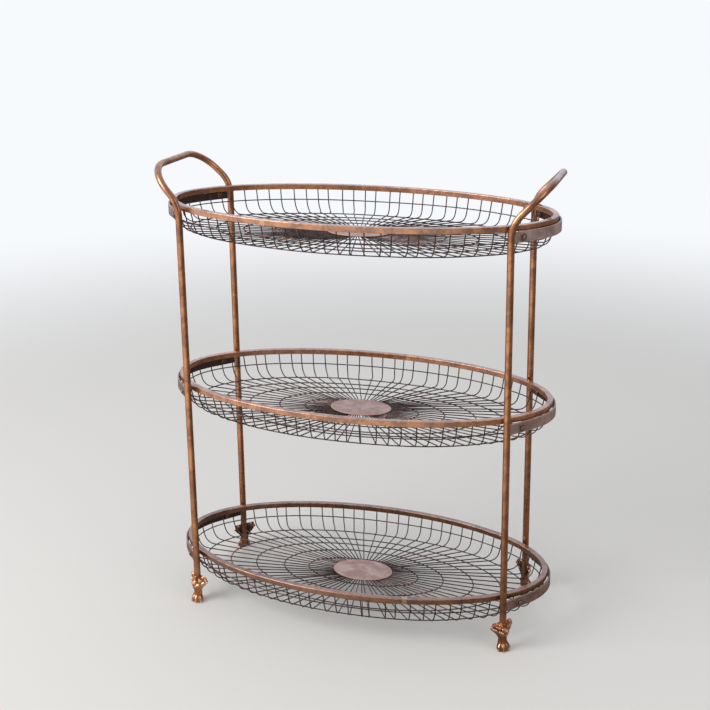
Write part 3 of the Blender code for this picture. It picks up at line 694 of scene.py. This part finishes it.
castFoot = {
    "across": 141, "rows": 90, "topRows": 9, "bore": 0.0067, "boreTurn": 127, "frontShare": 0.74,
    "back": (-0.0046, 0.0061), "ridge": 0.0128, "halfSpan": 0.0233, "sweep": 0.0055, "fold": 1.1,
    "lift": 0.013, "tipDip": 0.28, "tipRound": 0.07, "collar": 0.057, "bulge": 0.0022,
    "turned": {"front_left": 22},    # set on a little askew, in degrees
    "toeDepth": 0.0026, "toeSpots": (-67.5, -22.5, 22.5, 67.5),
    "claw": {"out": 0.01375, "height": 0.0034, "lean": (0.75, -0.35), "reach": (0.0021, 0.0016, 0.0013)},
    "sole": {"front": 0.0118, "back": 0.0046, "side": 0.0112, "rings": (    # height and size
        (0, 0.93), (0.0003, 0.98), (0.0015, 1), (0.0027, 0.98), (0.003, 0.93))},
    "scroll": {"height": 0.0478, "radius": 0.0036, "inset": 0.8, "turns": (-0.5, 2.1), "shrink": 0.68,
               "steps": 40, "wire": 0.0011, "ball": (0.0021, 0.0012, 0.0012)},
    # leaves: a lobe's width as a share of the half, and how far lobes and grooves stand out
    "lobeWidth": 0.44, "lobeShift": 0.14, "lobePower": 0.55, "leaf": 0.0024, "leafSunk": 0.001,
    "lipLeaf": 0.0008, "notch": 0.0016, "arch": 0.0022, "flute": 0.0003, "flutes": 12,
    "roll": 0.0012, "hollow": 0.0016, "collarBead": 0.0012, "carved": 0.001, "curl": 0.0034,
    # the heights between which each of them comes up
    "rises": {"tip": (0.0375, 0.044), "crown": (0.036, 0.041), "lip": (0.04, 0.044),
              "under": (0.027, 0.033), "underFull": (0.029, 0.035), "flute": (0.012, 0.018),
              "fluteEnd": (0.026, 0.032), "curl": (0.032, 0.0375), "curlEnd": (0.0405, 0.044)},
    "underEnd": (0.0362, 0.038),
    # height at the front, reach forwards and sideways, the wings' spread, the clefts' depth
    "stages": (
        (0, 0.0126, 0.012, 0, 0.5), (0.0012, 0.0138, 0.0133, 0, 0.9), (0.0035, 0.0146, 0.014, 0, 1),
        (0.0065, 0.0146, 0.014, 0, 1), (0.0095, 0.0138, 0.0133, 0, 0.9), (0.0125, 0.0118, 0.0115, 0, 0.6),
        (0.015, 0.0098, 0.0097, 0, 0.3), (0.0185, 0.0085, 0.0085, 0, 0.1), (0.0215, 0.008, 0.008, 0, 0),
        (0.0245, 0.0079, 0.0079, 0.02, 0), (0.0265, 0.0084, 0.0084, 0.1, 0), (0.029, 0.009, 0.009, 0.34, 0),
        (0.032, 0.0094, 0.0094, 0.7, 0), (0.035, 0.0095, 0.0095, 0.93, 0), (0.039, 0.0095, 0.0095, 1, 0),
        (0.044, 0.0095, 0.0095, 1, 0)),
    # wear of plain metal and toes (on the toes also a painted reflection), relief that is fully rubbed,
    # painted shade in grooves and on top
    "wearPlain": 0.1, "toeWearAndReflection": 0.6, "wearRelief": 0.0022, "grooveRelief": 0.0012, "grooveShade": 0.35,
    "topShade": 0.4, "backHighlights": (1.2, 1.5),    # on the back's carving and curl
}


def ramp(values, low, high):
    # 0 up to low, 1 from high, and a smooth step between
    share = np.clip((values - low) / (high - low), 0, 1)
    return share * share * (3 - 2 * share)


def footWall():
    # round sections blend upwards into a folded line from the ridge to the wings' tips; the inner
    # face goes from the bore out to the back line; the leaves are relief on the outer face
    foot = castFoot
    stages = np.array(foot["stages"])
    spots = np.linspace(0, len(stages) - 1, foot["rows"])
    height, forwards, sideways, wings, cleft = (
        np.interp(spots, np.arange(len(stages)), stages[:, column])[:, None] for column in range(5))
    rise = {name: ramp(height, *limits) for name, limits in foot["rises"].items()}
    u = np.linspace(-1, 1, foot["across"])[None]
    a, side = np.abs(u), np.sign(u)
    share = foot["frontShare"]
    bearing = np.minimum(a / share, 1) * math.pi / 2
    behind = np.clip((a - share) / (1 - share), 0, 1) * math.pi / 2
    backX, backY = foot["back"]
    ridge, sweep, halfSpan = foot["ridge"], foot["sweep"], foot["halfSpan"]

    def roundLine(front, sides):
        # a quarter ellipse to the side, and another on to the edge of the open back
        x = front * np.cos(bearing) + backX * np.sin(behind)
        y = np.where(a <= share, sides * np.sin(bearing), backY + (sides - backY) * np.cos(behind))
        return np.stack((x, y * side), axis=-1)

    toes = foot["toeDepth"] * cleft * np.abs(np.cos(4 * bearing)) ** 3 * np.cos(behind) ** 2
    outer = roundLine(forwards - toes, sideways - toes)
    rounded = 1 - foot["tipRound"] * rise["tip"] * a ** 5
    folded = np.stack((ridge - (ridge + sweep) * (a * rounded) ** foot["fold"], halfSpan * u * rounded),
                      axis=-1)
    outer = outer + (folded - outer) * wings[..., None]

    # leaves: lobes between grooves, in a row at the top edge and a shifted row below it
    phase = (a + foot["lobeShift"]) / foot["lobeWidth"]
    upper, lower = (np.sin(math.pi * ((phase + shift) % 1)) ** foot["lobePower"] for shift in (0, 0.5))
    under = rise["under"] * (1 - ramp(height + foot["arch"] * (1 - lower), *foot["underEnd"]))
    relief = (foot["leaf"] * upper - foot["leafSunk"]) * rise["crown"] + foot["lipLeaf"] * upper * rise["lip"]
    relief = relief + foot["leaf"] * lower * under * (0.3 + 0.7 * rise["underFull"])
    flutes = foot["flute"] * np.cos(bearing * foot["flutes"]) * rise["flute"] * (1 - rise["fluteEnd"])
    tangent = np.gradient(outer, axis=1)
    inward = unit(np.stack((-tangent[..., 1], tangent[..., 0]), axis=-1))
    fade = np.sqrt(1 - ramp(a, 0.93, 1.0))
    shaped = outer - inward * ((relief + flutes) * fade)[..., None]
    level = height + foot["lift"] * wings * a * (1 - foot["tipDip"] * a ** 6)
    level = level - foot["notch"] * (1 - upper) * rise["lip"] * fade

    # the bore below, and above it the bore's front half and the line from its edge to the tip
    bore = roundLine(foot["bore"], foot["bore"])
    turn = np.minimum(a / 0.5, 1) * math.radians(foot["boreTurn"])
    out = np.clip((a * rounded - 0.5) / 0.5, 0, 1)
    lineX = np.where(a <= 0.5, foot["bore"] * np.cos(turn), backX + (-sweep - backX) * out)
    lineY = np.where(a <= 0.5, foot["bore"] * np.sin(turn), backY + (halfSpan - backY) * out)
    line = np.stack((lineX + foot["bulge"] * np.sin(out * math.pi), lineY * side), axis=-1)
    inner = bore + (line - bore) * ramp(wings, 0.1, 1.0)[..., None]
    innerLevel = height + (foot["collar"] - stages[-1, 0]) * wings + 0 * a
    carved = lower * rise["crown"] * ramp(a, 0.5, 0.64) * fade
    curl = np.exp(-((a - 0.82) / 0.09) ** 2) * rise["curl"] * (1 - 0.7 * rise["curlEnd"])
    inner = inner + inward * (foot["carved"] * carved + foot["curl"] * curl * fade)[..., None]
    inner = np.where((a >= 1)[..., None], shaped, inner)
    innerLevel = np.where(a >= 1, level, innerLevel)

    # the top slopes up from the leaves' rolled edge to a low collar round the tube
    outerRows = np.concatenate((shaped, level[..., None]), axis=-1)
    innerRows = np.concatenate((inner, innerLevel[..., None]), axis=-1)
    step = np.linspace(0, 1, foot["topRows"] + 2)[1:-1, None]
    topRows = outerRows[-1:] + (innerRows[-1:] - outerRows[-1:]) * step[..., None]
    roll = foot["roll"] * upper * np.exp(-(step / 0.16) ** 2) - foot["hollow"] * np.sin(step * math.pi)
    bead = foot["collarBead"] * np.exp(-((step - 0.93) / 0.09) ** 2) * (a < 0.42)
    topRows = topRows + upward * ((roll * fade + bead) * (1 - a ** 6))[..., None]
    points = np.concatenate((outerRows, topRows, innerRows[::-1]))

    # rubbed on the lobes, flutes and toes; painted shade in the grooves, on the top and on the open back,
    # with painted highlights on the back's carving and curl
    raised = (foot["wearPlain"] + (relief + flutes) / foot["wearRelief"]
              + foot["toeWearAndReflection"] * (1 - toes / foot["toeDepth"]) * cleft)
    groove = (1 - np.clip(relief / foot["grooveRelief"], 0, 1)) * np.maximum(rise["crown"], under) * fade
    topShadeMask = ramp(step, 0.12, 0.3) * (1 - ramp(step, 0.8, 0.95) * (a < 0.4))
    # the open back's inner face is darkened all over with painted shade, and its carving and curl carry
    # painted highlights
    carvedHighlight, curlHighlight = foot["backHighlights"]
    wearAndPaintedLight = np.concatenate((np.clip(raised, 0, 1) - foot["grooveShade"] * groove,
                           np.exp(-(step / 0.14) ** 2) * upper - foot["topShade"] * topShadeMask,
                           (carvedHighlight * carved + curlHighlight * curl - 1)[::-1]))
    faces = gridFaces(*points.shape[:2], closeRows=True, closeColumns=False)
    return points.reshape(-1, 3), faces, wearAndPaintedLight.reshape(-1)


def footSole():
    # an oval plate with a shorter back, on which the tube stands
    sole = castFoot["sole"]
    z, size = np.array(sole["rings"]).T[..., None]
    turn = np.linspace(0, math.tau, 64, endpoint=False)
    x = np.cos(turn) * np.where(np.cos(turn) > 0, sole["front"], sole["back"]) * size
    y = np.sin(turn) * sole["side"] * size
    return shell(np.stack((x, y, z + 0 * x), axis=-1), 0.2)


def footClaws():
    # a small leaning ball on the tip of each toe
    claws, claw = [], castFoot["claw"]
    for spot in castFoot["toeSpots"]:
        bearing = math.radians(spot)
        out = np.array((math.cos(bearing), math.sin(bearing), 0.0))
        lean = unit(out * claw["lean"][0] + upward * claw["lean"][1])
        sidewise = np.cross(upward, out)
        axes = np.array((lean, np.cross(lean, sidewise), sidewise)) * np.array(claw["reach"])[:, None]
        claws.append(shell(weldBall(out * claw["out"] + upward * claw["height"], axes), 0.9))
    return claws


def footScrolls():
    # at each wing's tip a wire that winds inwards in the wing's plane, round a small ball
    scrolls, scroll = [], castFoot["scroll"]
    share = np.linspace(0, 1, scroll["steps"])[:, None]
    turn = np.linspace(*scroll["turns"], scroll["steps"])[:, None] * math.pi
    reach = scroll["radius"] * (1 - scroll["shrink"] * share)
    section = circle(scroll["wire"], 10)[None] * (1.15 - 0.4 * share[..., None]) * (1.5, 1.0)
    slope = castFoot["fold"] * (castFoot["ridge"] + castFoot["sweep"])
    for side in (-1, 1):
        along = unit(np.array((-slope, side * castFoot["halfSpan"], 0.0)))
        facing = np.cross(along, upward)
        tip = np.array((-castFoot["sweep"], side * castFoot["halfSpan"], scroll["height"]))
        centre = tip - along * scroll["radius"] * scroll["inset"]
        path = centre + reach * (np.cos(turn) * along + np.sin(turn) * upward)
        across = unit(np.cross(np.gradient(path, axis=0), facing))
        scrolls.append(shell(carried(path, facing, across, section), 0.8))
        axes = np.array((facing, along, upward)) * np.array(scroll["ball"])[:, None]
        scrolls.append(shell(weldBall(centre, axes), 1.0))
    return scrolls


footModel = [footWall(), footSole(), *footClaws(), *footScrolls()]
for end, endSign in endSigns.items():
    for side, sideSign in sideSigns.items():
        facing = math.atan2(sideSign, endSign) + math.radians(castFoot["turned"].get(f"{side}_{end}", 0))
        cosine, sine = math.cos(facing), math.sin(facing)
        spin = np.array(((cosine, sine, 0), (-sine, cosine, 0), (0, 0, 1)))
        place = np.array((endSign * legX, sideSign * legY, 0))
        shells = [(points @ spin + place, faces, wearAndPaintedLight) for points, faces, wearAndPaintedLight in footModel]
        addPiece(f"pawFoot_{side}_{end}", shells, footFinish, [f"foot_{side}_{end}"],
                 sharpAngle=60)
print("feet made")


# Floor, background, light and camera

studio = {
    "halfFloor": 30, "floorColour": (0.8, 0.78, 0.75), "floorRough": 0.75, "floorSpecular": 0.2,
    "fadeFrom": 1.4, "fadeTo": 3.6, "farColour": (0.93, 0.95, 0.98),
    "skyColour": (0.93, 0.96, 1), "skyStrength": 0.62,
    # what reflections see: colour, brightest direction, and where and how far the strength changes
    "floorMirrored": (0.98, 0.93, 0.88), "floorBright": (-0.52, -0.85, 0),
    "floorLean": (0.1, 0.9, 0.18, 1), "floorNear": (0.2, 1.2, 0.75, 1),
    "skyMirrored": (0.72, 0.82, 1), "skyBright": (-0.9, 0.34, 0.27), "skyLean": (-0.7, 0.55, 0.18, 1),
}
lamps = {    # place, size, power and colour
    "windowLamp": ((-2.6, -2.3, 2.6), 2.4, 95, (1, 0.985, 0.96)),
    "roomLamp": ((2.6, -1.2, 2.2), 2, 14, (1, 0.96, 0.92)),
}
lampAim = Vector((0, 0, 0.45))


def dotWith(tree, vector, direction):
    # the scalar product of a vector socket with a fixed direction
    return addNode(tree, "VectorMath", {0: vector, 1: direction}, operation="DOT_PRODUCT").outputs["Value"]


def makeFloor():
    # a flat square; far from the object it passes into the white background
    mesh = bpy.data.meshes.new("floor")
    half = studio["halfFloor"]
    mesh.from_pydata([(-half, -half, 0), (half, -half, 0), (half, half, 0), (-half, half, 0)], [],
                     [(0, 1, 2, 3)])
    floor = bpy.data.objects.new("floor", mesh)
    scene.collection.objects.link(floor)
    material = bpy.data.materials.new("paleFloor")
    material.use_nodes = True
    tree = material.node_tree
    shader = tree.nodes["Principled BSDF"]
    feed(tree, shader, {"Base Color": studio["floorColour"], "Roughness": studio["floorRough"],
                        "Specular IOR Level": studio["floorSpecular"]})
    place = addNode(tree, "TexCoord").outputs["Object"]
    distance = addNode(tree, "VectorMath", {0: place}, operation="LENGTH").outputs["Value"]
    paths = addNode(tree, "LightPath").outputs
    seen = maths(tree, "MULTIPLY", span(tree, distance, studio["fadeFrom"], studio["fadeTo"]),
                 paths["Is Camera Ray"])
    # reflections see the floor bright at the front left, and dim elsewhere and near the object
    lean = maths(tree, "DIVIDE", dotWith(tree, place, studio["floorBright"]),
                 maths(tree, "ADD", distance, 0.3))
    mirrored = maths(tree, "MULTIPLY", span(tree, lean, *studio["floorLean"]),
                     span(tree, distance, *studio["floorNear"]))
    surface = shader.outputs[0]
    for amount, strength, colour in ((seen, 1.0, studio["farColour"]),
                                     (paths["Is Glossy Ray"], mirrored, studio["floorMirrored"])):
        glow = addNode(tree, "Emission", {"Color": colour, "Strength": strength}).outputs[0]
        surface = addNode(tree, "MixShader", {0: amount, 1: surface, 2: glow}).outputs[0]
    feed(tree, tree.nodes["Material Output"], {"Surface": surface})
    mesh.materials.append(material)


def makeWorld():
    # white for camera rays; reflections see a bluer one, bright at the left and dim at the right
    world = bpy.data.worlds.new("daylight")
    scene.world = world
    world.use_nodes = True
    tree = world.node_tree
    direction = addNode(tree, "TexCoord").outputs["Generated"]
    side = span(tree, dotWith(tree, direction, studio["skyBright"]), *studio["skyLean"])
    paths = addNode(tree, "LightPath").outputs
    mirrored = paths["Is Glossy Ray"]
    seen = maths(tree, "MAXIMUM", paths["Is Camera Ray"], paths["Is Transmission Ray"])
    plain = maths(tree, "SUBTRACT", 1.0, maths(tree, "MAXIMUM", seen, mirrored))
    strength = maths(tree, "ADD", maths(tree, "ADD", seen, maths(tree, "MULTIPLY", mirrored, side)),
                     maths(tree, "MULTIPLY", plain, studio["skyStrength"]))
    tint = blend(tree, mirrored, studio["skyColour"], studio["skyMirrored"])
    feed(tree, tree.nodes["Background"], {"Color": tint, "Strength": strength})


def addLamp(name, place, size, power, colour):
    # a square lamp that faces the middle of the object
    data = bpy.data.lights.new(name, "AREA")
    data.size, data.energy, data.color = size, power, colour
    holder = bpy.data.objects.new(name, data)
    holder.location = place
    holder.rotation_euler = (lampAim - Vector(place)).to_track_quat("-Z", "Y").to_euler()
    scene.collection.objects.link(holder)


makeFloor()
makeWorld()
for name, lamp in lamps.items():
    addLamp(name, *lamp)

photoView = {
    "pixels": 710, "focal": 1172.4717, "centre": (399.5862, 260.0), "azimuth": 16.2598,
    "elevation": 14.7892, "roll": -0.1746, "place": (0.68424, -2.06847, 1.28983), "sensor": 36.0,
}
camera = bpy.data.cameras.new("photoCamera")
camera.sensor_width = photoView["sensor"]
pixels, (centreX, centreY) = photoView["pixels"], photoView["centre"]
camera.lens = photoView["focal"] * photoView["sensor"] / pixels
camera.shift_x = (pixels / 2 - centreX) / pixels
camera.shift_y = (centreY - pixels / 2) / pixels
camera.clip_end = 200.0
viewer = bpy.data.objects.new("photoCamera", camera)
pan, tilt, roll = (Matrix.Rotation(math.radians(angle), 4, axis) for angle, axis in (
    (photoView["azimuth"], "Z"), (90 - photoView["elevation"], "X"), (photoView["roll"], "Z")))
viewer.matrix_world = Matrix.Translation(photoView["place"]) @ pan @ tilt @ roll
scene.collection.objects.link(viewer)
scene.camera = viewer
scene.view_settings.view_transform = "Standard"
print("camera, lamps and floor made")
